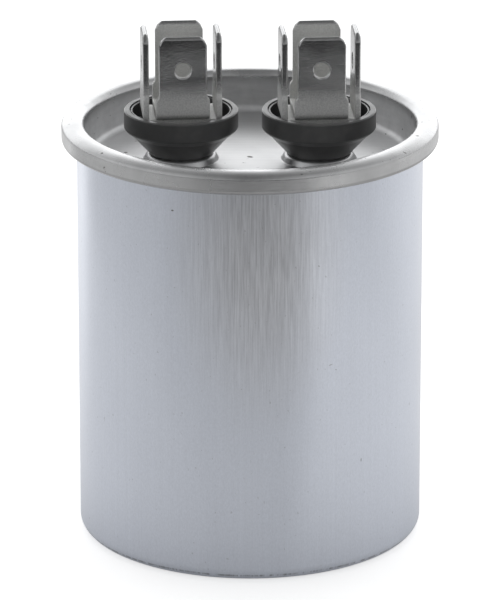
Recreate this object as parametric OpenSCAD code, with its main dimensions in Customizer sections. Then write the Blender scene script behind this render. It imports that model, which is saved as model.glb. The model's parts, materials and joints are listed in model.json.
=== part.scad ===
// Motor run capacitor: an oil-filled aluminium can with a double-seamed lid
// and two terminals of four quick-connect blades each.
// The can stands on z = 0, its axis is Z, and the terminals lie in a line along X.

/* [Can] */
// Outer diameter of the can
can_diameter = 45.8; // [45:0.1:52]
// Height from the base to the underside of the rolled rim
can_height = 53.9; // [50:0.1:90]
// Thickness of the drawn aluminium
can_sheet = 0.5; // [0.4:0.05:0.5]
// Radius of the edge round the base
base_corner = 1.6; // [1:0.1:1.7]

/* [Lid and rolled rim] */
// How far the rolled rim stands out past the can's wall
rim_overhang = 2.02; // [2.02:0.01:2.2]
// Height of the rolled rim
rim_height = 2.9; // [2.8:0.05:3.1]
// Depth of the lid's panel below the top of the rim
recess_depth = 5.6; // [4.4:0.1:6]
// Thickness of the lid's sheet
lid_sheet = 0.5; // [0.4:0.05:0.5]
// Lean of the wall of the recess, in degrees
wall_lean = 4; // [0:1:6]

/* [Terminals] */
// Distance between the centres of the two terminals
terminal_spacing = 18.2; // [16.5:0.1:20]
// Turn of each set of blades out of square with the line of the terminals, in degrees
terminal_twist = 4.5; // [0:0.5:8]
// Width of a blade
blade_width = 6.35; // [4.8:0.05:6.4]
// Thickness of a blade
blade_thickness = 0.8; // [0.5:0.1:0.8]
// Length of a blade from its shoulders to its tip
blade_length = 8; // [7:0.1:10]
// Diameter of the detent hole in a blade
detent_diameter = 2.1; // [1.6:0.1:2.4]
// Distance between the two blades of the wide pair, centre to centre
wide_pair_span = 9.6; // [9.4:0.1:9.6]
// Distance between the two blades of the narrow pair, centre to centre
narrow_pair_span = 7.9; // [7.9:0.1:8.4]
// Outer diameter of the insulating cup
cup_diameter = 15.1; // [15.1:0.1:16]
// Height of the insulating cup above its boss
cup_height = 5.95; // [5.5:0.05:7]

/* [Winding] */
// Diameter of the film roll
winding_diameter = 40.8; // [34:0.2:41]
// Outer diameter of the tube that the film is wound on
core_diameter = 10; // [8:0.5:12]
// Thickness of the sprayed metal on each end of the roll
spray_thickness = 0.8; // [0.4:0.1:1]

/* [Hidden] */

$fn = 96;
bend_steps = 8;       // segments in a bend of a sheet
slip = 0.05;          // clearance of a part that slides over another
through = 1;          // how far a cutter runs past the face it cuts
overlap = 0.2;        // how far two stretches of one sheet run into each other
seam_gap = 0.1;       // space between neighbouring layers of the rolled rim

can_radius = can_diameter / 2;
can_bore = can_radius - can_sheet;
left = -terminal_spacing / 2;
right = terminal_spacing / 2;

// The rim, in the half plane of radius and height.
rim_radius = can_radius + rim_overhang;
rim_top = can_height + rim_height;
crown_radius = 0.9;                                   // the roll's inner, higher shoulder
shoulder_radius = 0.6;                                // the roll's outer, lower shoulder
crest_from = 100;                                     // angles between which the flatter
crest_to = 62;                                        // crest joins the two shoulders
crown_x = can_bore - lid_sheet + crown_radius;
shoulder_x = rim_radius - shoulder_radius;
crest_width = shoulder_x + shoulder_radius * cos(crest_to) - crown_x - crown_radius * cos(crest_from);
crest_radius = crest_width / (cos(crest_to) - cos(crest_from));
crest = [
    shoulder_x - (crest_radius - shoulder_radius) * cos(crest_to),
    rim_top - crest_radius
];
crown = crest + (crest_radius - crown_radius) * [cos(crest_from), sin(crest_from)];
shoulder = crest + (crest_radius - shoulder_radius) * [cos(crest_to), sin(crest_to)];
hook_bend = 0.3;                                      // centre-line radius of the hooks
curl_z = can_height + hook_bend + lid_sheet / 2;
cover_hook_radius = can_radius + seam_gap + lid_sheet / 2; // centre line of the lid's hook
wall_flare = 0.05;                                    // lean of the can's wall inside the rim
flange_bend = 0.45;                                   // centre-line radius of the can's flange
flange_z = can_height + 1.4;                          // where the wall turns out into the flange
body_hook_radius = cover_hook_radius + (lid_sheet + can_sheet) / 2 + seam_gap;
body_hook_end = can_height + 0.85;
compound_z = can_height + 0.8;
compound_height = 0.65;

// The lid's panel and the bosses pressed up in it.
panel_top = rim_top - recess_depth;
panel_bottom = panel_top - lid_sheet;
foot_radius = 1;                                      // fillet between panel and wall
boss_height = 0.9;
boss_top_radius = 4.1;                                // flat top of a boss
boss_bend = 0.4;                                      // centre-line radius of its two bends
boss_angle = 60;                                      // slope of its flank
boss_flank = (boss_height - 2 * boss_bend * (1 - cos(boss_angle))) / tan(boss_angle);
boss_foot = boss_top_radius + 2 * boss_bend * sin(boss_angle) + boss_flank;
boss_z = panel_top + boss_height;
lid_hole = 2.4;                                       // radius of the hole for the spigot

// The stack of each terminal, from the boss upwards and downwards.
cup_radius = cup_diameter / 2;
cup_top = boss_z + cup_height;
cup_band = 2.55;                                      // height of the cup's straight side
cup_foot = 4.3;                                       // radius where the cup meets the boss
cup_edge = 0.15;                                      // broken edges of the cup
cup_shoulder = [1, 0.75];                             // bevel under the band, in and down
cup_land = 0.75;                                      // width of the cup's top edge
groove_depth = 0.35;
lip_width = 0.2;
lip_drop = 0.12;                                      // how far the inner lip lies below the edge
cavity_radius = cup_radius - 1.15;
cavity_depth = 0.9;                                   // depth of the moat round the blades' seat
seat_radius = 3.6;
seat_z = cup_top - 1.2;                               // where the wide pair's base lies
rivet_radius = 1.5;
head_radius = 2.3;
head_height = 0.8;
head_edge = 0.4;
seal_thickness = 1;
seal_radius = 3.9;
bushing_thickness = 1.7;
bushing_radius = 4.8;
bushing_step = [0.7, 0.5];                            // rebate round its upper face, in and down
washer_thickness = 0.5;
washer_radius = 3.4;
seal_z = boss_z - lid_sheet - seal_thickness;
bushing_z = seal_z - bushing_thickness;
washer_z = bushing_z - washer_thickness;
tail_height = 0.7;                                    // clinched end of the rivet
tail_radius = 2.4;
tail_bevel = 0.3;
tail_z = washer_z - tail_height;

// Blades: root, shoulders, tip.
root_width = blade_width + 0.75;
shoulder_step = 0.95;                                 // height over which the root narrows
shoulder_round = [0.06, 0.08];                        // softening of the step's two corners
blade_bend = 0.5;                                     // centre-line radius of the fold
tip_z = cup_top + 10.95;
shoulder_z = tip_z - blade_length;
detent_z = tip_z - 4.5;
tip_corner = [0.85, 1.25];                            // corner cut off the tip, across and down
tip_knee = [0.3, 0.56];                               // where the cut corner changes its slope
tip_bevel = 0.45;                                     // length of the coined lead-in

// Inside the can, from the base upwards and the lid downwards.
tray_floor = 1.1;
tray_z = can_sheet;
tray_top = 7;
tray_slip = 0.1;                                      // clearance between tray and can
spacer_thickness = 0.8;
lower_spray_z = tray_z + tray_floor + spacer_thickness;
winding_z = lower_spray_z + spray_thickness;
strap = [4, 0.4];                                     // width and thickness of a lead strap
strap_fold = 0.6;                                     // centre-line radius of its folds
strap_lap = 2;                                        // how far a strap runs past its weld
lead_reach = 6;                                       // how far the lower strap runs under the roll
interrupter_thickness = 1.6;
interrupter_top = tail_z - 0.7;
interrupter_z = interrupter_top - interrupter_thickness;
headroom = 3.4;                                       // between the roll and the interrupter
winding_top = interrupter_z - headroom - spray_thickness;
winding_radius = winding_diameter / 2;
core_radius = core_diameter / 2;
core_bore = core_radius - 1.5;
spray_margin = 0.2;                                   // bare edge of film round the spray
sleeve_bore = can_bore - 1.45;
sleeve_wall = 0.6;
spacer_width = 2.6;
tray_bore = sleeve_bore + sleeve_wall + slip;
weld_radius = 0.9;                                    // weld nub of a lead strap

function arc(centre, radius, from, to) =
    from == to
        ? [centre + radius * [cos(from), sin(from)]]
        : [for (i = [0:bend_steps])
            let (a = from + (to - from) * i / bend_steps)
            centre + radius * [cos(a), sin(a)]];

// One face of a bent sheet. Each bend is [centre, radius, from angle, to angle], walked along the
// sheet; a plain end has radius 0, and a fifth number there thins the sheet to that share.
function face(bends, offset) =
    [for (b = bends)
        let (turn = b[3] < b[2] ? -1 : 1, share = len(b) > 4 ? b[4] : 1)
        each arc(b[0], b[1] + turn * offset * share, b[2], b[3])];

function reversed(points) = [for (i = [len(points) - 1:-1:0]) points[i]];

module sheet(bends, thickness) {
    polygon(concat(face(bends, thickness / 2), reversed(face(bends, -thickness / 2))));
}

// A round plate or ring with a bore through it.
module ring(outer, bore, height) {
    difference() {
        cylinder(h = height, r = outer);
        translate([0, 0, -through]) cylinder(h = height + 2 * through, r = bore);
    }
}

module at_terminal(x) {
    translate([x, 0, 0]) children();
}

/* Can and lid */

module can() {
    wall = can_radius - can_sheet / 2;
    color("#c3c5cb")
    rotate_extrude()
    sheet([
        [[0, can_sheet / 2], 0, -90, -90],
        [[can_radius - base_corner, base_corner], base_corner - can_sheet / 2, -90, 0],
        [[wall, can_height], 0, 0, 0],
        [[wall + wall_flare + flange_bend, flange_z], flange_bend, 180, 90],
        [[body_hook_radius - flange_bend, flange_z], flange_bend, 90, 0],
        [[body_hook_radius, body_hook_end], 0, 180, 180]
    ], can_sheet);
}

// A raised boss with a hole for the cup's spigot, pressed up in the panel.
module boss() {
    half = lid_sheet / 2;
    rotate_extrude()
    sheet([
        [[lid_hole, boss_z - half], 0, -90, -90],
        [[boss_top_radius, boss_z - half - boss_bend], boss_bend, 90, 90 - boss_angle],
        [[boss_foot, panel_top - half + boss_bend], boss_bend, 270 - boss_angle, 270],
        [[boss_foot + overlap, panel_top - half], 0, -90, -90]
    ], lid_sheet);
}

module lid() {
    half = lid_sheet / 2;
    crown_mid = crown_radius - half;
    foot_mid = foot_radius + half;
    foot_z = panel_top + foot_radius;
    lean_rise = crown[1] + crown_mid * sin(wall_lean) - foot_z + foot_mid * sin(wall_lean);
    foot = [crown[0] - (crown_mid + foot_mid) * cos(wall_lean) - lean_rise * tan(wall_lean), foot_z];
    color("#b9b8b4")
    union() {
        difference() {
            rotate_extrude()
            sheet([
                [[0, panel_top - half], 0, -90, -90],
                [foot, foot_mid, -90, -wall_lean],
                [crown, crown_mid, 180 - wall_lean, crest_from],
                [crest, crest_radius - half, crest_from, crest_to],
                [shoulder, shoulder_radius - half, crest_to, 0],
                [[rim_radius - half - hook_bend, curl_z], hook_bend, 0, -90],
                [[cover_hook_radius + hook_bend, curl_z], hook_bend, -90, -180],
                [[cover_hook_radius, flange_z - seam_gap], 0, 0, 0]
            ], lid_sheet);
            for (x = [left, right])
                translate([x, 0, panel_bottom - through])
                cylinder(h = lid_sheet + 2 * through, r = boss_foot);
        }
        for (x = [left, right]) at_terminal(x) boss();
    }
}

// Lining compound between the can's hook and the outside of the roll.
module seam_compound() {
    inner = body_hook_radius + can_sheet / 2;
    outer = rim_radius - lid_sheet;
    color("#8d8a80")
    translate([0, 0, compound_z])
    ring(outer, inner, compound_height);
}

/* Terminals */

module cup() {
    lip = cavity_radius + lip_width;
    groove_z = cup_top - groove_depth;
    band_z = cup_top - cup_band;
    moat_z = seat_z - cavity_depth;
    color("#2b2b2b")
    rotate_extrude()
    polygon([
        [rivet_radius + slip, boss_z - lid_sheet],
        [lid_hole - slip, boss_z - lid_sheet],
        [lid_hole - slip, boss_z],
        [cup_foot - cup_edge, boss_z],
        [cup_foot, boss_z + cup_edge],
        [cup_radius - cup_shoulder[0], band_z - cup_shoulder[1]],
        [cup_radius - cup_edge, band_z - cup_edge / 2],
        [cup_radius, band_z + cup_edge],
        [cup_radius, cup_top - cup_edge],
        [cup_radius - cup_edge, cup_top],
        [cup_radius - cup_land, cup_top],
        [cup_radius - cup_land - slip, groove_z],
        [lip, groove_z],
        [lip, cup_top - lip_drop],
        [lip - cup_edge, cup_top - lip_drop],
        [cavity_radius, cup_top - lip_drop - slip],
        [cavity_radius, moat_z],
        [seat_radius + lip_width, moat_z],
        [seat_radius, seat_z],
        [rivet_radius + slip, seat_z]
    ]);
}

// Outline of a blade seen from its flat side, from the fold to the tip.
module blade_outline() {
    half = blade_width / 2;
    root = root_width / 2;
    right_edge = [
        [root, seat_z - through],
        [root, shoulder_z - shoulder_step],
        [root - shoulder_round[0], shoulder_z - shoulder_step * 0.55],
        [half + shoulder_round[1], shoulder_z - shoulder_step * 0.25],
        [half, shoulder_z],
        [half, tip_z - tip_corner[1]],
        [half - tip_knee[0], tip_z - tip_knee[1]],
        [half - tip_corner[0], tip_z]
    ];
    polygon(concat(right_edge, [for (p = reversed(right_edge)) [-p[0], p[1]]]));
}

// Two blades and the base between them, folded up from one strip. The fold runs along Y.
module blade_pair(span, base_z) {
    half = span / 2;
    bend_z = base_z + blade_thickness / 2 + blade_bend;
    reach = half + through;
    difference() {
        intersection() {
            rotate([90, 0, 0])
            linear_extrude(height = root_width, center = true)
            sheet([
                [[-half, tip_z], 0, 180, 180, 0.5],
                [[-half, tip_z - tip_bevel], 0, 180, 180],
                [[-half + blade_bend, bend_z], blade_bend, 180, 270],
                [[half - blade_bend, bend_z], blade_bend, 270, 360],
                [[half, tip_z - tip_bevel], 0, 0, 0],
                [[half, tip_z], 0, 0, 0, 0.5]
            ], blade_thickness);
            rotate([90, 0, 90])
            linear_extrude(height = 2 * reach, center = true)
            blade_outline();
        }
        translate([-reach, 0, detent_z])
        rotate([0, 90, 0])
        cylinder(h = 2 * reach, d = detent_diameter);
        translate([0, 0, base_z - through])
        cylinder(h = blade_thickness + 2 * through, r = rivet_radius + slip);
    }
}

module wide_blades() {
    color("#a9a9a7")
    rotate([0, 0, terminal_twist])
    blade_pair(wide_pair_span, seat_z);
}

module narrow_blades() {
    color("#8f8f8e")
    rotate([0, 0, terminal_twist + 90])
    blade_pair(narrow_pair_span, seat_z + blade_thickness);
}

// Rivet through both blade bases, the cup, the lid and the insulation under it.
module rivet() {
    head_z = seat_z + 2 * blade_thickness;
    color("#9d9b96")
    rotate_extrude()
    polygon(concat(
        [[0, tail_z], [tail_radius - tail_bevel, tail_z], [tail_radius, tail_z + tail_bevel]],
        [[tail_radius, washer_z], [rivet_radius, washer_z]],
        [[rivet_radius, head_z], [head_radius, head_z]],
        arc([head_radius - head_edge, head_z + head_height - head_edge], head_edge, 0, 90),
        [[0, head_z + head_height]]
    ));
}

module seal() {
    color("#3a3a38")
    translate([0, 0, seal_z])
    ring(seal_radius, rivet_radius + slip, seal_thickness);
}

module bushing() {
    color("#d8d2c2")
    translate([0, 0, bushing_z])
    difference() {
        union() {
            cylinder(h = bushing_thickness - bushing_step[1], r = bushing_radius);
            cylinder(h = bushing_thickness, r = bushing_radius - bushing_step[0]);
        }
        translate([0, 0, -through])
        cylinder(h = bushing_thickness + 2 * through, r = rivet_radius + slip);
    }
}

module washer() {
    color("#b5b2aa")
    translate([0, 0, washer_z])
    ring(washer_radius, rivet_radius + slip, washer_thickness);
}

/* Pressure interrupter and leads */

// Disc that holds the leads still while a bulging lid pulls the rivets off them.
module interrupter() {
    stand_outer = 20;
    stand_inner = 18.6;
    stand_height = panel_bottom - interrupter_z;
    vent_count = 6;
    vent_radius = 1.5;
    vent_ring = 13.5;      // radius of the circle that the vents lie on
    gap_width = 5;         // gaps in the standing ring, through which oil flows
    gap_rise = 1.5;        // how far above the disc the gaps begin
    weld_hole = weld_radius + 0.3;
    color("#e2ddd0")
    translate([0, 0, interrupter_z])
    difference() {
        union() {
            cylinder(h = interrupter_thickness, r = tray_bore - slip);
            ring(stand_outer, stand_inner, stand_height);
        }
        for (x = [left, right])
            translate([x, 0, -through])
            cylinder(h = interrupter_thickness + 2 * through, r = weld_hole);
        for (i = [0:vent_count - 1])
            rotate([0, 0, (i + 0.5) * 360 / vent_count])
            translate([vent_ring, 0, -through])
            cylinder(h = interrupter_thickness + 2 * through, r = vent_radius);
        for (i = [0:vent_count - 1])
            rotate([0, 0, i * 360 / vent_count])
            translate([stand_inner - through, -gap_width / 2, interrupter_thickness + gap_rise])
            cube([stand_outer - stand_inner + 2 * through, gap_width, stand_height]);
    }
}

// Weld nub that stands through the interrupter and meets the end of a rivet.
module weld_nub(x) {
    translate([x, 0, interrupter_z - strap[1] / 2])
    cylinder(h = tail_z - interrupter_z + strap[1] / 2, r = weld_radius);
}

// A strap bent in the XZ plane along the given bends.
module bent_strap(bends) {
    rotate([90, 0, 0])
    linear_extrude(height = strap[0], center = true)
    sheet(bends, strap[1]);
}

// Short lead from the left rivet down to the upper end of the roll.
module top_lead() {
    high = interrupter_z - strap[1] / 2;
    low = interrupter_z - headroom + strap[1] / 2;
    riser = left - 4;
    foot = 3.5;
    color("#c98c5a")
    union() {
        bent_strap([
            [[left + strap_lap, high], 0, 90, 90],
            [[riser + strap_fold, high - strap_fold], strap_fold, 90, 180],
            [[riser - strap_fold, low + strap_fold], strap_fold, 0, -90],
            [[riser - foot, low], 0, 90, 90]
        ]);
        weld_nub(left);
    }
}

// Long lead from the right rivet down the bore of the roll to its lower end.
module bottom_lead() {
    high = interrupter_z - strap[1] / 2;
    low = lower_spray_z - strap[1] / 2;
    color("#c98c5a")
    union() {
        bent_strap([
            [[right + strap_lap, high], 0, 90, 90],
            [[strap_fold, high - strap_fold], strap_fold, 90, 180],
            [[strap_fold, low + strap_fold], strap_fold, 180, 270],
            [[core_radius + lead_reach, low], 0, -90, -90]
        ]);
        weld_nub(right);
    }
}

/* Roll and its insulation */

module top_spacer() {
    color("#e8e3d6")
    translate([0, 0, interrupter_z - headroom])
    ring(sleeve_bore - slip, sleeve_bore - spacer_width, headroom);
}

module spray(z) {
    color("#9c9c9a")
    translate([0, 0, z])
    ring(winding_radius - spray_margin, core_radius, spray_thickness);
}

module winding() {
    color("#d9c9a0")
    translate([0, 0, winding_z])
    ring(winding_radius, core_radius, winding_top - winding_z);
}

module winding_core() {
    color("#d6d1c4")
    translate([0, 0, winding_z - spray_thickness])
    ring(core_radius, core_bore, winding_top - winding_z + 2 * spray_thickness);
}

module insulating_sleeve() {
    color("#ece8dc")
    translate([0, 0, tray_z + tray_floor])
    ring(sleeve_bore + sleeve_wall, sleeve_bore, interrupter_z - tray_z - tray_floor);
}

// Disc under the roll, with a slot for the strap from the lower end.
module bottom_spacer() {
    play = 0.5;
    start = -1;
    color("#e8e3d6")
    translate([0, 0, tray_z + tray_floor])
    difference() {
        cylinder(h = spacer_thickness, r = sleeve_bore - slip);
        translate([start, -strap[0] / 2 - play, -through])
        cube([core_radius + lead_reach + 1 - start, strap[0] + 2 * play, spacer_thickness + 2 * through]);
    }
}

module bottom_tray() {
    outer = can_bore - tray_slip;
    color("#dedad0")
    rotate_extrude()
    polygon([
        [0, tray_z],
        [outer - base_corner, tray_z],
        [outer, tray_z + base_corner],
        [outer, tray_top],
        [tray_bore, tray_top],
        [tray_bore, tray_z + tray_floor],
        [0, tray_z + tray_floor]
    ]);
}

can();
lid();
seam_compound();
at_terminal(left) cup();  // left_cup
at_terminal(right) cup();  // right_cup
at_terminal(left) wide_blades();  // left_wide_blades
at_terminal(right) wide_blades();  // right_wide_blades
at_terminal(left) narrow_blades();  // left_narrow_blades
at_terminal(right) narrow_blades();  // right_narrow_blades
at_terminal(left) rivet();  // left_rivet
at_terminal(right) rivet();  // right_rivet
at_terminal(left) seal();  // left_seal
at_terminal(right) seal();  // right_seal
at_terminal(left) bushing();  // left_bushing
at_terminal(right) bushing();  // right_bushing
at_terminal(left) washer();  // left_washer
at_terminal(right) washer();  // right_washer
interrupter();
top_lead();
bottom_lead();
top_spacer();
spray(winding_top);  // upper_spray
winding();
winding_core();
spray(lower_spray_z);  // lower_spray
insulating_sleeve();
bottom_spacer();
bottom_tray();
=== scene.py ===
import json
import math

import bpy
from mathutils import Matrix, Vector

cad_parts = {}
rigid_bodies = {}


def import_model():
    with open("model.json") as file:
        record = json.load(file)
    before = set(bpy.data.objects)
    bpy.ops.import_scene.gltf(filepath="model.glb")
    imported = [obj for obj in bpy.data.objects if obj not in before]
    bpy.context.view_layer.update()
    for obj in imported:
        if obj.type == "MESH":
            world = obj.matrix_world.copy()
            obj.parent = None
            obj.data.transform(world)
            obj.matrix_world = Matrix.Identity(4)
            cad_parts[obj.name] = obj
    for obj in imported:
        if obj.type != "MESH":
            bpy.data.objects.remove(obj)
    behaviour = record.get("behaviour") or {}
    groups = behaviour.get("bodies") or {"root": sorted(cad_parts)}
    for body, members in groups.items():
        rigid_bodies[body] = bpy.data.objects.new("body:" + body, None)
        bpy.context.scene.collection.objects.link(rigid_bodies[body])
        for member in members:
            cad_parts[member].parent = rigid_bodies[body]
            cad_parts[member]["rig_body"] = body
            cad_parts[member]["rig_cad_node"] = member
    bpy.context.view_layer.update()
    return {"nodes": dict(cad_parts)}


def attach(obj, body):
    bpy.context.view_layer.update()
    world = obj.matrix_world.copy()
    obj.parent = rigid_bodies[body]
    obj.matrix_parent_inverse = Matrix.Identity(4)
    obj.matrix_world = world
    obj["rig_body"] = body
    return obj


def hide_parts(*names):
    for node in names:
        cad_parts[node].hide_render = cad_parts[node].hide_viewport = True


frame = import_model()
bpy.ops.object.select_all(action="DESELECT")

nodes = frame["nodes"]
MM = 0.001
TERMINAL_X = 9.1 * MM              # from the can's axis to each terminal's
TERMINAL_TURN = math.radians(4.5)  # of the blades, out of square with the terminals' line
WHITE = (1, 1, 1, 1)


# ---------------------------------------------------------------- wiring

# Sockets of a Mix node that share a name with others, so they are picked by number.
MIX_FACTOR = 0
NUMBER_A, NUMBER_B = 2, 3
COLOUR_A, COLOUR_B = 6, 7

USUAL_NOISE = (0.3, 0.7)           # a noise seldom leaves this range


class Wiring:
    """Short calls that add and join the nodes of one tree."""

    def __init__(self, tree):
        self.tree = tree

    def node(self, kind, **settings):
        made = self.tree.nodes.new(kind)
        for name, value in settings.items():
            setattr(made, name, value)
        return made

    def feed(self, socket, value):
        """Links an output to a socket, or writes a plain value on it."""
        if isinstance(value, bpy.types.NodeSocket):
            self.tree.links.new(value, socket)
        else:
            socket.default_value = value

    def math(self, operation, a, b=0.0, clamp=False):
        made = self.node("ShaderNodeMath", operation=operation, use_clamp=clamp)
        self.feed(made.inputs[0], a)
        self.feed(made.inputs[1], b)
        return made.outputs[0]

    def chain(self, operation, *values):
        """Joins values by one operation, from the first to the last."""
        joined = values[0]
        for value in values[1:]:
            joined = self.math(operation, joined, value)
        return joined

    def total(self, *values):
        return self.chain("ADD", *values)

    def product(self, *values):
        return self.chain("MULTIPLY", *values)

    def either(self, *masks):
        """The strongest of some masks."""
        return self.chain("MAXIMUM", *masks)

    def ramp(self, value, low, high, to_low=0.0, to_high=1.0, kind="LINEAR"):
        """Runs from to_low at low to to_high at high, and stays level past both."""
        made = self.node("ShaderNodeMapRange", interpolation_type=kind)
        self.feed(made.inputs["Value"], value)
        limits = {"From Min": low, "From Max": high, "To Min": to_low, "To Max": to_high}
        for name, number in limits.items():
            made.inputs[name].default_value = number
        return made.outputs["Result"]

    def vary(self, noise, least=0.0, most=1.0):
        """Spreads the usual range of a noise between two limits."""
        return self.ramp(noise, *USUAL_NOISE, least, most)

    def split(self, vector):
        """X, Y and Z of a vector."""
        made = self.node("ShaderNodeSeparateXYZ")
        self.feed(made.inputs[0], vector)
        return made.outputs

    def length(self, vector):
        made = self.node("ShaderNodeVectorMath", operation="LENGTH")
        self.feed(made.inputs[0], vector)
        return made.outputs["Value"]


class Finish(Wiring):
    """A material under construction: a principled shader and short calls for its patterns."""

    def __init__(self, name, colour, metallic, roughness, **sockets):
        self.material = bpy.data.materials.new(name)
        self.material.use_nodes = True
        super().__init__(self.material.node_tree)
        self.shader = self.tree.nodes["Principled BSDF"]
        self.shader.inputs["Base Color"].default_value = (*colour, 1)
        self.shader.inputs["Metallic"].default_value = metallic
        self.shader.inputs["Roughness"].default_value = roughness
        for socket, value in sockets.items():
            self.shader.inputs[socket.replace("_", " ")].default_value = value
        self.place = self.node("ShaderNodeTexCoord").outputs["Object"]

    def stretched(self, *scale):
        """The piece's own place, stretched so that a pattern gets longer along an axis."""
        made = self.node("ShaderNodeMapping")
        self.feed(made.inputs["Vector"], self.place)
        made.inputs["Scale"].default_value = scale
        return made.outputs[0]

    def radius(self, x, y):
        """Distance from the can's axis."""
        return self.math("SQRT", self.total(self.product(x, x), self.product(y, y)))

    def around(self, turns, radial, upright):
        """Place by angle round Z, distance from Z and height, for marks that run round.

        The angle goes in as its sine and cosine, so that the pattern has no seam.
        """
        x, y, z = self.split(self.place)
        radius = self.radius(x, y)
        joined = self.node("ShaderNodeCombineXYZ")
        self.feed(joined.inputs[0], self.product(self.math("DIVIDE", x, radius), turns))
        self.feed(joined.inputs[1], self.product(self.math("DIVIDE", y, radius), turns))
        along = self.total(self.product(z, upright), self.product(radius, radial))
        self.feed(joined.inputs[2], along)
        return joined.outputs[0]

    def noise(self, vector, detail, roughness, scale=1.0):
        made = self.node("ShaderNodeTexNoise")
        self.feed(made.inputs["Vector"], vector)
        made.inputs["Scale"].default_value = scale
        made.inputs["Detail"].default_value = detail
        made.inputs["Roughness"].default_value = roughness
        return made.outputs["Fac"]

    def mark(self, centre_mm, half_size_mm, turn=(0, 0, 0), full=0.6):
        """One inside an ellipsoid and nothing outside it: a fleck, a nick or a stain.

        The turn is in degrees. The mark is at full strength up to that share of its size.
        """
        made = self.node("ShaderNodeMapping", vector_type="TEXTURE")
        self.feed(made.inputs["Vector"], self.place)
        made.inputs["Location"].default_value = [c * MM for c in centre_mm]
        made.inputs["Rotation"].default_value = [math.radians(a) for a in turn]
        made.inputs["Scale"].default_value = [c * MM for c in half_size_mm]
        return self.ramp(self.length(made.outputs[0]), 1.0, full)

    def band(self, value, low, high, soft):
        """One between two limits, nothing outside them."""
        return self.product(
            self.ramp(value, low - soft, low), self.ramp(value, high + soft, high)
        )

    def blend(self, share, a, b):
        """Mixes two colours, each a plain one or an output."""
        made = self.node("ShaderNodeMix", data_type="RGBA")
        self.feed(made.inputs[MIX_FACTOR], share)
        self.feed(made.inputs[COLOUR_A], (*a, 1) if isinstance(a, tuple) else a)
        self.feed(made.inputs[COLOUR_B], (*b, 1) if isinstance(b, tuple) else b)
        return made.outputs[2]

    def mix(self, share, a, b):
        """Mixes two numbers."""
        made = self.node("ShaderNodeMix", data_type="FLOAT")
        self.feed(made.inputs[MIX_FACTOR], share)
        self.feed(made.inputs[NUMBER_A], a)
        self.feed(made.inputs[NUMBER_B], b)
        return made.outputs[0]

    def colour(self, value):
        self.feed(self.shader.inputs["Base Color"], value)

    def metallic(self, value):
        self.feed(self.shader.inputs["Metallic"], value)

    def roughness(self, value):
        self.feed(self.shader.inputs["Roughness"], value)

    def relief(self, height, depth_mm, strength):
        made = self.node("ShaderNodeBump")
        made.inputs["Strength"].default_value = strength
        made.inputs["Distance"].default_value = depth_mm * MM
        self.feed(made.inputs["Height"], height)
        self.feed(self.shader.inputs["Normal"], made.outputs[0])


# ---------------------------------------------------------------- finishes

def drawn_aluminium():
    """The can: upright draw lines, grain, faint smudges, pits, nicks and a base edge that
    darkens towards the bottom.
    """
    shaded, lit = (0.565, 0.59, 0.65), (0.785, 0.817, 0.893)
    pale_line, dark_line = (0.77, 0.775, 0.80), (0.50, 0.50, 0.515)
    # dark grey for the marks, and for the darkening towards the bottom edge
    grime_and_shade = (0.2, 0.2, 0.2)
    hem_foot, hem_top, hem_fade = 0.72 * MM, 0.9 * MM, 0.12 * MM
    sole_foot, sole_top = 0.02 * MM, 0.22 * MM
    behind_from, behind_to = -6 * MM, 4 * MM
    f = Finish("drawn_aluminium", (0.72, 0.74, 0.78), 1.0, 0.33)
    _, y, z = f.split(f.place)

    lines = f.noise(f.around(59.54, 0, 14), 4, 0.7)
    broad = f.noise(f.around(3.2, 0, 18), 3, 0.5)
    grain = f.noise(f.stretched(5200, 5200, 2600), 2, 0.6)
    smudge = f.noise(f.stretched(60, 60, 40), 4, 0.6)
    tone = f.total(
        f.vary(lines, -0.06, 0.06),
        f.vary(broad, -0.05, 0.05),
        f.ramp(smudge, 0.3, 0.75, 0.03, -0.06),
        f.ramp(grain, 0.25, 0.75, -0.16, 0.16),
    )
    clean = f.blend(f.math("ADD", tone, 0.5, clamp=True), shaded, lit)

    # draw lines that stand out in a dull patch under the rim in front, and in places behind
    streaks = f.noise(f.around(100, 0, 150), 4, 0.7)
    front = f.mark((1.5, -23, 46), (13, 12, 26), full=0.25)
    behind = f.ramp(y, behind_from, behind_to)
    elsewhere = f.product(f.ramp(broad, 0.46, 0.72, 0.0, 0.6), behind)
    patch = f.product(f.either(front, elsewhere), f.ramp(smudge, 0.25, 0.5, 0.5, 1.0))
    drawn = f.blend(f.ramp(streaks, 0.36, 0.64), pale_line, dark_line)
    clean = f.blend(f.product(patch, 0.8), clean, drawn)

    pits = f.ramp(f.noise(f.stretched(2300, 2300, 1700), 2, 0.5), 0.72, 0.76, 0.0, 0.32)
    nicks = f.either(
        f.mark((8.9, -21.1, 43.2), (0.18, 20, 0.1), (0, 30, 0)),
        f.mark((10.5, -20.3, 29.4), (0.3, 20, 0.09), (0, -15, 0)),
        f.mark((11.2, -19.9, 28.6), (0.16, 20, 0.08), (0, 20, 0)),
        f.mark((14.6, -17.6, 15.2), (0.11, 20, 0.3)),
    )
    fleck = f.mark((-10.0, -20.6, 50.6), (0.2, 20, 0.13))
    # a broken dark line low on the base's curve, and the sole, darker towards its bottom edge
    broken = f.ramp(f.noise(f.around(26, 0, 0), 4, 0.7), 0.42, 0.56)
    hem = f.product(f.band(z, hem_foot, hem_top, hem_fade), broken)
    sole = f.ramp(z, sole_top, sole_foot, 0.0, 0.8)
    marks_and_darkening = f.either(fleck, pits, f.product(hem, 0.65), sole, f.product(nicks, 0.5))

    f.colour(f.blend(marks_and_darkening, clean, grime_and_shade))
    f.roughness(f.total(f.vary(lines, 0.27, 0.33), f.ramp(smudge, 0.4, 0.7, 0, 0.05)))
    ridges = f.total(lines, f.product(streaks, patch, 2.0))
    f.relief(f.total(ridges, f.product(grain, 0.7)), 0.004, 0.5)
    return f.material


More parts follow.
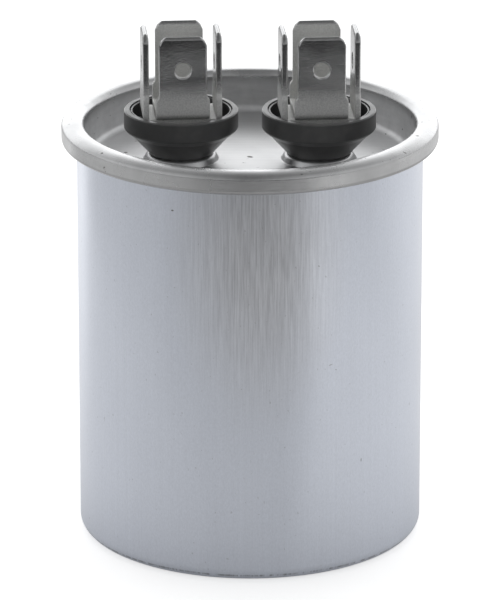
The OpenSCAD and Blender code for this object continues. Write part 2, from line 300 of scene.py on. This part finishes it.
def tin_plate():
    """The lid: straight rolling lines on the panel, lines that run round on wall and rim."""
    shaded, lit = (0.62, 0.62, 0.623), (0.79, 0.79, 0.793)
    rim_grey = (0.38, 0.38, 0.38)
    # dark grey for specks of grime, and for the painted shade in the fold
    grime_and_shade = (0.1, 0.095, 0.09)
    panel_rough, wall_rough, rim_rough = 0.37, 0.46, 0.27
    # radii
    panel_edge, wall_foot = 20.2 * MM, 21.2 * MM
    wall_top, crest_start = 22.0 * MM, 22.6 * MM
    curl_inner, curl_outer = 24.0 * MM, 24.5 * MM
    # heights
    rim_low, rim_high = 54.8 * MM, 55.8 * MM
    curl_foot, curl_top, curl_fade = 54.15 * MM, 54.35 * MM, 0.2 * MM
    f = Finish("tin_plate", (0.52, 0.52, 0.515), 1.0, 0.3, Specular_Tint=(0.8, 0.8, 0.8, 1))
    x, y, z = f.split(f.place)
    radius = f.radius(x, y)

    # outside covers all but the panel and its bosses, rim only the rolled rim
    outside = f.ramp(radius, panel_edge, wall_foot)
    rim = f.either(f.ramp(z, rim_low, rim_high), f.ramp(radius, wall_top, crest_start))

    rings = f.noise(f.around(6, 1500, 1500), 4, 0.6)
    rolled = f.noise(f.stretched(60, 2400, 0), 3, 0.6)
    lines = f.mix(outside, rolled, rings)
    patches = f.noise(f.stretched(90, 90, 90), 4, 0.6)
    mottle = f.noise(f.stretched(420, 420, 260), 3, 0.65)
    share = f.total(f.vary(lines, 0.3, 0.7), f.ramp(patches, 0.35, 0.7, 0.2, -0.2))
    blotches = f.product(outside, f.vary(mottle, -0.3, 0.3))
    clean = f.blend(f.math("ADD", share, blotches, clamp=True), shaded, lit)
    clean = f.blend(f.product(rim, 0.45), clean, rim_grey)

    specks = f.either(
        f.ramp(f.noise(f.place, 2, 0.5, scale=1300), 0.72, 0.76),
        f.mark((0.0, 0.55, 51.2), (0.55, 0.36, 3), (0, 0, -40)),
        f.mark((-16.5, 2.5, 51.2), (0.3, 0.3, 3), (0, 0, -30)),
    )
    # painted shade: a dark line in the fold at the rim's lower edge
    painted_fold_shade = f.product(
        f.band(z, curl_foot, curl_top, curl_fade), f.ramp(radius, curl_inner, curl_outer)
    )
    # the specks are grime; the dark line in the fold is painted shade
    f.colour(f.blend(f.either(specks, f.product(painted_fold_shade, 0.4)), clean, grime_and_shade))
    rough = f.mix(rim, f.mix(outside, panel_rough, wall_rough), rim_rough)
    f.roughness(f.total(rough, f.vary(patches, -0.04, 0.05)))
    f.relief(f.total(lines, f.product(outside, mottle)), 0.012, 0.6)
    return f.material


def black_phenolic():
    """The cups: black moulding with faint greyer wear."""
    fresh, worn = (0.062, 0.062, 0.062), (0.098, 0.097, 0.096)
    f = Finish("black_phenolic", (0.05, 0.05, 0.05), 0.0, 0.3, Specular_IOR_Level=0.5)
    grain = f.noise(f.place, 3, 0.6, scale=1800)
    wear = f.noise(f.place, 4, 0.6, scale=260)
    f.colour(f.blend(f.ramp(wear, 0.4, 0.75), fresh, worn))
    f.roughness(f.vary(wear, 0.28, 0.42))
    f.relief(grain, 0.004, 0.5)
    return f.material


def blade_metal():
    """Tinned brass with a sandy grain; matt at the roots and between front and back blades,
    where a lighter colour is painted light, for light bounced between them; painted shade
    darkens the tips.
    """
    bright_dark, bright_light = (0.48, 0.48, 0.485), (0.68, 0.68, 0.675)
    matt_and_bounce_dark, matt_and_bounce_light = (0.66, 0.66, 0.645), (0.82, 0.82, 0.80)
    painted_tip_shade = (0.2, 0.2, 0.2)
    root_foot, root_top = 59.2 * MM, 63.4 * MM
    tip_foot, tip_full = 66.6 * MM, 67.8 * MM
    f = Finish("blade_metal", (0.55, 0.55, 0.55), 1.0, 0.2, Specular_Tint=(0.68, 0.68, 0.68, 1))
    x, y, z = f.split(f.place)

    # place across and along one terminal, turned with its blades
    x = f.math("SUBTRACT", x, f.product(f.math("SIGN", x), TERMINAL_X))
    cosine, sine = math.cos(TERMINAL_TURN), math.sin(TERMINAL_TURN)
    across = f.total(f.product(x, cosine), f.product(y, sine))
    along = f.math("SUBTRACT", f.product(y, cosine), f.product(x, sine))
    # the faces that look inwards, up to just inside the blades' edges and tips; their lighter
    # matt colour is painted light, for light bounced between the blades
    between = f.product(
        f.ramp(f.math("ABSOLUTE", along), 4.0 * MM, 3.9 * MM),
        f.ramp(f.math("ABSOLUTE", across), 3.5 * MM, 3.35 * MM),
        f.ramp(z, 68.6 * MM, 68.5 * MM),
    )
    root = f.ramp(z, root_top, root_foot, kind="SMOOTHSTEP")
    # painted shade: the blades darken towards their tips, but not on the faces that look
    # inwards
    tip_shade = f.product(f.ramp(z, tip_foot, tip_full, 0.0, 0.4), f.math("SUBTRACT", 1.0, between))
    matt = f.either(f.product(root, 0.6), f.product(between, 0.9))

    grain = f.noise(f.place, 2, 0.7, scale=5200)
    cloud = f.noise(f.place, 4, 0.6, scale=300)
    bright = f.blend(f.ramp(grain, 0.35, 0.65), bright_dark, bright_light)
    # the matt colour: a finish at the roots, and on the faces that look inwards also painted
    # light, for light bounced between the blades
    matt_and_bounce_lit = f.blend(f.vary(grain), matt_and_bounce_dark, matt_and_bounce_light)
    f.colour(f.blend(tip_shade, f.blend(matt, bright, matt_and_bounce_lit), painted_tip_shade))
    f.metallic(f.ramp(matt, 0.0, 1.0, 1.0, 0.0))
    f.roughness(f.total(f.vary(cloud, 0.11, 0.16), f.product(matt, 0.7)))
    f.relief(grain, 0.011, 0.8)
    return f.material


def plain_finish(
    name, colour, metallic, roughness, grain_scale=900, spread=0.12, depth_mm=0.004
):
    """For the pieces inside the can: one colour that varies a little, with a fine grain."""
    f = Finish(name, colour, metallic, roughness)
    grain = f.noise(f.place, 4, 0.6, scale=grain_scale)
    dark = tuple(c * (1 - spread) for c in colour)
    light = tuple(min(1, c * (1 + spread)) for c in colour)
    f.colour(f.blend(f.vary(grain), dark, light))
    f.roughness(f.vary(grain, roughness - 0.06, roughness + 0.06))
    f.relief(grain, depth_mm, 0.5)
    return f.material


def dress(material, *names):
    """Gives CAD nodes a finish in every material slot."""
    for name in names:
        for slot in nodes[name].material_slots:
            slot.material = material


blade_finish = blade_metal()
BLADE_PAIRS = [
    side + pair for side in ("left_", "right_") for pair in ("wide_blades", "narrow_blades")
]
dress(drawn_aluminium(), "can")
dress(tin_plate(), "lid")
dress(black_phenolic(), "left_cup", "right_cup")
dress(blade_finish, *BLADE_PAIRS)

# finish: colour, metallic, roughness, and the nodes that have it
INNER_FINISHES = {
    "rivet_steel": ((0.5, 0.49, 0.47), 1.0, 0.3, "left_rivet", "right_rivet"),
    "lining_compound": ((0.3, 0.28, 0.24), 0.0, 0.7, "seam_compound"),
    "seal_rubber": ((0.03, 0.03, 0.03), 0.0, 0.6, "left_seal", "right_seal"),
    "nylon": ((0.72, 0.67, 0.56), 0.0, 0.4, "left_bushing", "right_bushing"),
    "washer_steel": ((0.6, 0.58, 0.55), 1.0, 0.32, "left_washer", "right_washer"),
    "interrupter_plastic": ((0.75, 0.71, 0.62), 0.0, 0.45, "interrupter"),
    "tinned_copper": ((0.66, 0.5, 0.38), 1.0, 0.3, "top_lead", "bottom_lead"),
    "metallised_film": ((0.7, 0.61, 0.42), 0.3, 0.3, "winding"),
    "core_board": ((0.62, 0.57, 0.48), 0.0, 0.7, "winding_core"),
    "insulating_paper": ((0.78, 0.74, 0.64), 0.0, 0.75, "insulating_sleeve"),
    "spacer_board": ((0.76, 0.72, 0.62), 0.0, 0.75, "top_spacer", "bottom_spacer"),
    "tray_plastic": ((0.7, 0.67, 0.6), 0.0, 0.45, "bottom_tray"),
}
for finish, (colour, metallic, roughness, *names) in INNER_FINISHES.items():
    dress(plain_finish(finish, colour, metallic, roughness), *names)
sprayed_zinc = plain_finish(
    "sprayed_zinc", (0.5, 0.5, 0.49), 1.0, 0.6, grain_scale=1600, spread=0.3, depth_mm=0.03
)
dress(sprayed_zinc, "upper_spray", "lower_spray")


# ---------------------------------------------------------------- blades

BLADE_ROUNDING = 0.2 * MM
SAME_POINT = 0.002 * MM            # corners closer than this are one
FLAT_ANGLE = math.radians(0.5)     # faces that meet at less than this are one
CUT_ANGLE = math.radians(38)       # edges sharper than this are rounded
SMOOTH_ANGLE = math.radians(35)


def only(piece):
    """Makes one object the selected and active one."""
    bpy.ops.object.select_all(action="DESELECT")
    piece.select_set(True)
    bpy.context.view_layer.objects.active = piece


def rounded_blades(node):
    """A copy of a pair of blades whose cut edges are rounded, which stands for that pair."""
    piece = nodes[node].copy()
    piece.data = nodes[node].data.copy()
    piece.name = piece.data.name = node + "_edged"
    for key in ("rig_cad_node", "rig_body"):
        del piece[key]
    piece.parent = None
    bpy.context.collection.objects.link(piece)
    only(piece)

    bpy.ops.object.mode_set(mode="EDIT")
    bpy.ops.mesh.select_all(action="SELECT")
    bpy.ops.mesh.remove_doubles(threshold=SAME_POINT)
    bpy.ops.mesh.dissolve_limited(angle_limit=FLAT_ANGLE)
    bpy.ops.object.mode_set(mode="OBJECT")

    rounding = piece.modifiers.new("rounding", "BEVEL")
    rounding.width = BLADE_ROUNDING
    rounding.segments = 3
    rounding.use_clamp_overlap = False
    rounding.limit_method = "ANGLE"
    rounding.angle_limit = CUT_ANGLE
    bpy.ops.object.modifier_apply(modifier="rounding")
    bpy.ops.object.shade_smooth_by_angle(angle=SMOOTH_ANGLE)
    flats = piece.modifiers.new("flats", "WEIGHTED_NORMAL")
    flats.weight = 100
    flats.keep_sharp = True
    bpy.ops.object.modifier_apply(modifier="flats")

    piece.data.materials.clear()
    piece.data.materials.append(blade_finish)
    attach(piece, "root")
    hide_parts(node)


for pair in BLADE_PAIRS:
    rounded_blades(pair)
bpy.ops.object.select_all(action="DESELECT")


# ---------------------------------------------------------------- floor, light and camera

FLOOR_FRONT, FLOOR_BACK, FLOOR_SIDE = -0.19, 0.6, 0.6
FLOOR_SHINE = 0.62                 # how much the floor glows for the camera alone
CEILING_LIGHT, SIDE_LIGHT, BACK_LIGHT, FRONT_LIGHT = 0.16, 0.62, 2.3, 0.2
BACK_LIGHT_HIGH = 0.45 * BACK_LIGHT
WALL_TINT = (0.98, 0.99, 1.0, 1)
EYE = (0, -0.69336, 0.26914)
EYE_DOWN = 18.93                   # degrees below level
LENS_MM, FILM_MM = 329.46, 36


def table_top():
    """A pale table top that the camera sees as white; its own shade carries the shadow.

    For glossy rays alone it also glows, in a slanted strip and in a lighter stretch at the
    back: painted light that metal shows as highlights.
    """
    bpy.ops.mesh.primitive_plane_add(size=1.0, location=(0, 0, 0))
    top = bpy.context.object
    top.name = "table_top"
    bpy.ops.object.mode_set(mode="EDIT")
    bpy.ops.transform.resize(value=(2 * FLOOR_SIDE, FLOOR_BACK - FLOOR_FRONT, 1))
    bpy.ops.transform.translate(value=(0, (FLOOR_BACK + FLOOR_FRONT) / 2, 0))
    bpy.ops.object.mode_set(mode="OBJECT")

    f = Finish("pale_table", (0.7, 0.7, 0.7), 0.0, 0.9, Specular_IOR_Level=0.0)
    seen = f.node("ShaderNodeLightPath")
    x, y, _ = f.split(f.place)
    # painted light: for glossy rays alone the top glows at the back and in a slanted strip,
    # which the metal shows as highlights
    behind = f.product(f.ramp(y, -0.1, 0.14, 0.0, 0.35), f.ramp(x, -0.18, -0.11))
    slant = f.total(x, f.product(y, 0.93))
    painted_glow_strip = f.chain(
        "MINIMUM",
        f.ramp(slant, -0.030, -0.014, 0.0, 0.24),
        f.ramp(slant, 0.05, 0.0, 0.10, 0.24),
        f.ramp(slant, 0.11, 0.05, 0.0, 0.2),
    )
    reach = f.ramp(f.length(f.place), 0.035, 0.16, 0.15, 1.75)
    mirrored = f.product(seen.outputs["Is Glossy Ray"], f.total(behind, f.product(painted_glow_strip, reach)))
    direct = f.product(seen.outputs["Is Camera Ray"], FLOOR_SHINE)
    lift = f.node("ShaderNodeEmission")
    lift.inputs["Color"].default_value = WHITE
    f.feed(lift.inputs["Strength"], f.either(direct, mirrored))
    both = f.node("ShaderNodeAddShader")
    f.feed(both.inputs[0], f.shader.outputs[0])
    f.feed(both.inputs[1], lift.outputs[0])
    f.feed(f.tree.nodes["Material Output"].inputs["Surface"], both.outputs[0])
    top.data.materials.append(f.material)


def room():
    """A room with a bright wall behind, paler sides and a dim ceiling; white to the camera."""
    world = bpy.data.worlds.new("studio_room")
    bpy.context.scene.world = world
    world.use_nodes = True
    w = Wiring(world.node_tree)
    x, y, z = w.split(w.node("ShaderNodeTexCoord").outputs["Generated"])
    sides = w.product(w.math("ABSOLUTE", x), SIDE_LIGHT)
    back = w.product(
        w.math("POWER", w.ramp(y, 0.25, 1.0), 2.0),
        w.ramp(z, 0.42, 0.68, BACK_LIGHT, BACK_LIGHT_HIGH),
    )
    front = w.product(w.ramp(y, -0.5, -1.0), w.ramp(z, 0.5, 0.0, 0.0, FRONT_LIGHT))
    light = w.total(w.total(sides, back), w.total(front, CEILING_LIGHT))
    below = w.ramp(z, -0.06, -0.02, 0.15, 1.0)

    walls = w.tree.nodes["Background"]
    walls.inputs["Color"].default_value = WALL_TINT
    w.feed(walls.inputs["Strength"], w.product(light, below))
    white = w.node("ShaderNodeBackground")
    white.inputs["Color"].default_value = WHITE
    choose = w.node("ShaderNodeMixShader")
    w.feed(choose.inputs["Fac"], w.node("ShaderNodeLightPath").outputs["Is Camera Ray"])
    w.feed(choose.inputs[1], walls.outputs[0])
    w.feed(choose.inputs[2], white.outputs[0])
    w.feed(w.tree.nodes["World Output"].inputs["Surface"], choose.outputs[0])


def soft_box(name, place, size, power):
    """A large diffuser aimed at the part; metal shows the room instead of it."""
    data = bpy.data.lights.new(name, "AREA")
    data.shape = "RECTANGLE"
    data.size, data.size_y = size
    data.energy = power
    lamp = bpy.data.objects.new(name, data)
    lamp.location = place
    lamp.rotation_euler = (-Vector(place)).to_track_quat("-Z", "Y").to_euler()
    lamp.visible_glossy = False
    bpy.context.collection.objects.link(lamp)


def camera():
    data = bpy.data.cameras.new("camera")
    data.lens = LENS_MM
    data.sensor_width = FILM_MM
    eye = bpy.data.objects.new("camera", data)
    eye.location = EYE
    eye.rotation_euler = (math.radians(90 - EYE_DOWN), 0, 0)
    bpy.context.collection.objects.link(eye)
    bpy.context.scene.camera = eye


table_top()
room()
soft_box("overhead", place=(0, 0.2, 0.7), size=(0.7, 0.5), power=2.1)
camera()
bpy.context.scene.view_settings.view_transform = "Standard"
